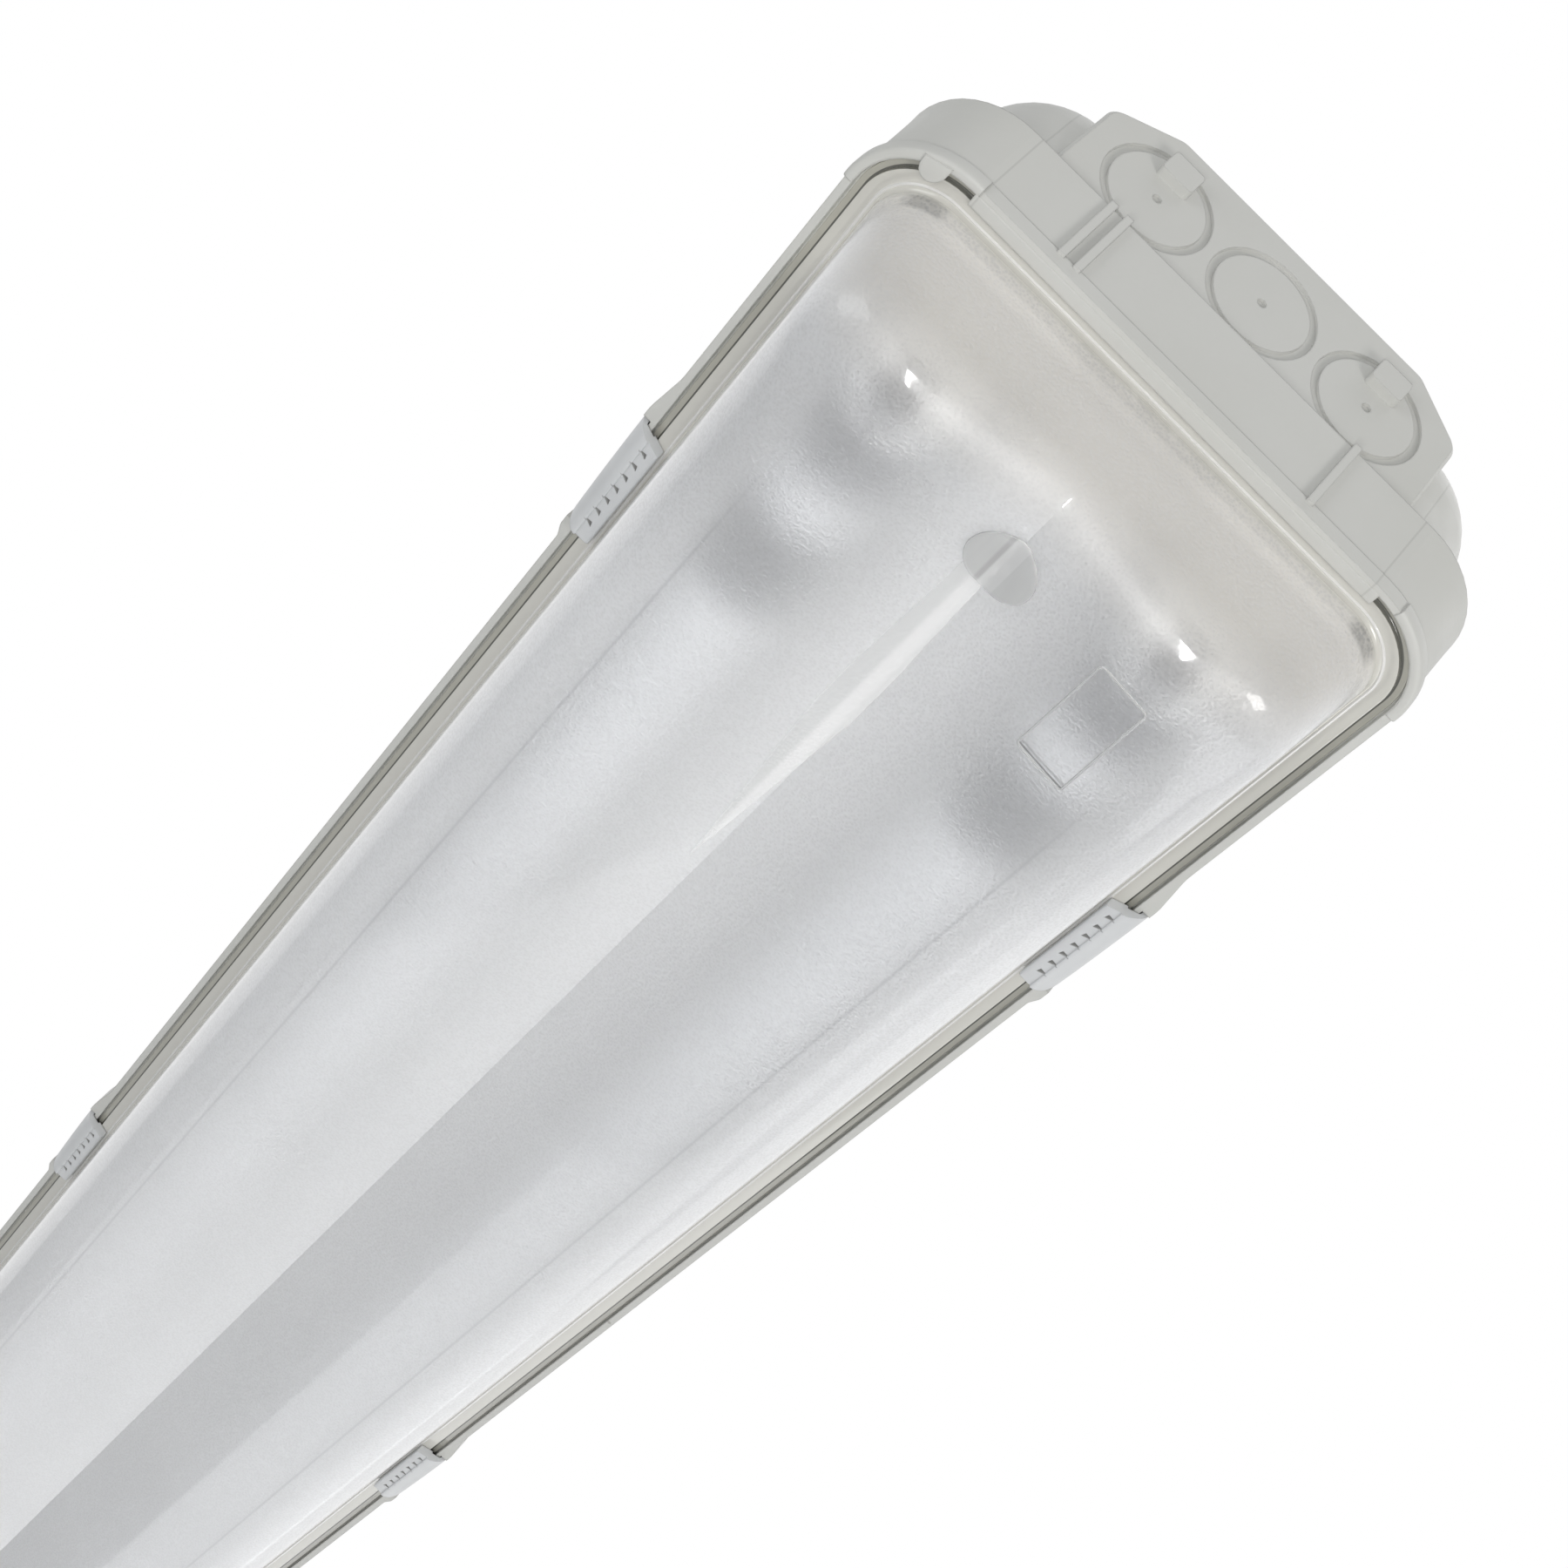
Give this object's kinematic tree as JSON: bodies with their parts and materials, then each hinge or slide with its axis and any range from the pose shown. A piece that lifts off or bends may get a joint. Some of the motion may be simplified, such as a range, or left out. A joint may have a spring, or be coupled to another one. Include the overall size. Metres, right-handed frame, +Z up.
{
  "type": "vapor tight light fixture",
  "caption": "Long sealed ceiling light: grey moulded housing with end cable-entry blanks, clear lobed diffuser held by hinged side clips, tubular lamps on a white gear tray.",
  "frame": {"origin": "centre of the four fixing holes, on the ceiling plane that the pads on the housing's back touch", "axes": "+X along the fixture towards the pictured end, +Y across it, +Z up into the ceiling; the diffuser faces down"},
  "size_m": [1.5998, 0.1682, 0.109],
  "materials": {
    "housing_plastic": "light grey moulded plastic, fine satin",
    "seal_rubber": "black moulded rubber",
    "gasket_foam": "beige foamed gasket",
    "diffuser_clear": "clear moulded plastic, stippled dome, clear rim",
    "clip_plastic": "light grey moulded plastic, slightly glossy",
    "tray_white": "white powder coat on sheet steel",
    "zinc_steel": "zinc plated",
    "ballast_case": "white coated steel case",
    "terminal_plastic": "natural white plastic",
    "holder_white": "white plastic",
    "rotor_white": "white plastic rotor",
    "lamp_glass": "glass tube coated white inside",
    "cap_metal": "pressed aluminium",
    "pin_brass": "brass contact pins",
    "wire_brown": "brown wire covering",
    "wire_blue": "blue wire covering",
    "wire_green": "green and yellow wire covering",
    "wire_white": "white wire covering"
  },
  "bodies": {
    "fixture": {"housing": "housing_plastic", "fixing_seals": "seal_rubber", "gasket": "gasket_foam", "diffuser": "diffuser_clear", "gear_tray": "tray_white", "tray_screws": "zinc_steel", "ballast": "ballast_case", "ballast_screws": "zinc_steel", "terminal_block": "terminal_plastic", "terminal_screws": "zinc_steel", "earth_screw": "zinc_steel", "wire_line": "wire_brown", "wire_neutral": "wire_blue", "wire_earth": "wire_green", "lamp_wires": "wire_white", "lampholder_left_front": "holder_white", "lampholder_left_rear": "holder_white", "lampholder_right_front": "holder_white", "lampholder_right_rear": "holder_white"},
    "clip_left_1": {"clip_left_1": "clip_plastic"},
    "clip_left_2": {"clip_left_2": "clip_plastic"},
    "clip_left_3": {"clip_left_3": "clip_plastic"},
    "clip_left_4": {"clip_left_4": "clip_plastic"},
    "clip_right_1": {"clip_right_1": "clip_plastic"},
    "clip_right_2": {"clip_right_2": "clip_plastic"},
    "clip_right_3": {"clip_right_3": "clip_plastic"},
    "clip_right_4": {"clip_right_4": "clip_plastic"},
    "lamp_left": {"lamp_left_tube": "lamp_glass", "lamp_left_caps": "cap_metal", "lamp_left_pins": "pin_brass", "lamp_left_rotors": "rotor_white"},
    "lamp_right": {"lamp_right_tube": "lamp_glass", "lamp_right_caps": "cap_metal", "lamp_right_pins": "pin_brass", "lamp_right_rotors": "rotor_white"}
  },
  "joints": [
    {"name": "clip_left_1_hinge", "type": "hinge", "parent": "fixture", "child": "clip_left_1", "pos_m": [0.6547, -0.0825, -0.0624], "axis": [-1, 0, 0], "range_deg": [0, 110]},
    {"name": "clip_left_2_hinge", "type": "hinge", "parent": "fixture", "child": "clip_left_2", "pos_m": [0.21823, -0.0825, -0.0624], "axis": [-1, 0, 0], "range_deg": [0, 110]},
    {"name": "clip_left_3_hinge", "type": "hinge", "parent": "fixture", "child": "clip_left_3", "pos_m": [-0.21823, -0.0825, -0.0624], "axis": [-1, 0, 0], "range_deg": [0, 110]},
    {"name": "clip_left_4_hinge", "type": "hinge", "parent": "fixture", "child": "clip_left_4", "pos_m": [-0.6547, -0.0825, -0.0624], "axis": [-1, 0, 0], "range_deg": [0, 110]},
    {"name": "clip_right_1_hinge", "type": "hinge", "parent": "fixture", "child": "clip_right_1", "pos_m": [0.6547, 0.0825, -0.0624], "axis": [1, 0, 0], "range_deg": [0, 110]},
    {"name": "clip_right_2_hinge", "type": "hinge", "parent": "fixture", "child": "clip_right_2", "pos_m": [0.21823, 0.0825, -0.0624], "axis": [1, 0, 0], "range_deg": [0, 110]},
    {"name": "clip_right_3_hinge", "type": "hinge", "parent": "fixture", "child": "clip_right_3", "pos_m": [-0.21823, 0.0825, -0.0624], "axis": [1, 0, 0], "range_deg": [0, 110]},
    {"name": "clip_right_4_hinge", "type": "hinge", "parent": "fixture", "child": "clip_right_4", "pos_m": [-0.6547, 0.0825, -0.0624], "axis": [1, 0, 0], "range_deg": [0, 110]},
    {"name": "lamp_left_turn", "type": "hinge", "parent": "fixture", "child": "lamp_left", "pos_m": [0, -0.041, -0.079], "axis": [1, 0, 0], "range_deg": [0, 90]},
    {"name": "lamp_right_turn", "type": "hinge", "parent": "fixture", "child": "lamp_right", "pos_m": [0, 0.041, -0.079], "axis": [1, 0, 0], "range_deg": [0, 90]}
  ]
}
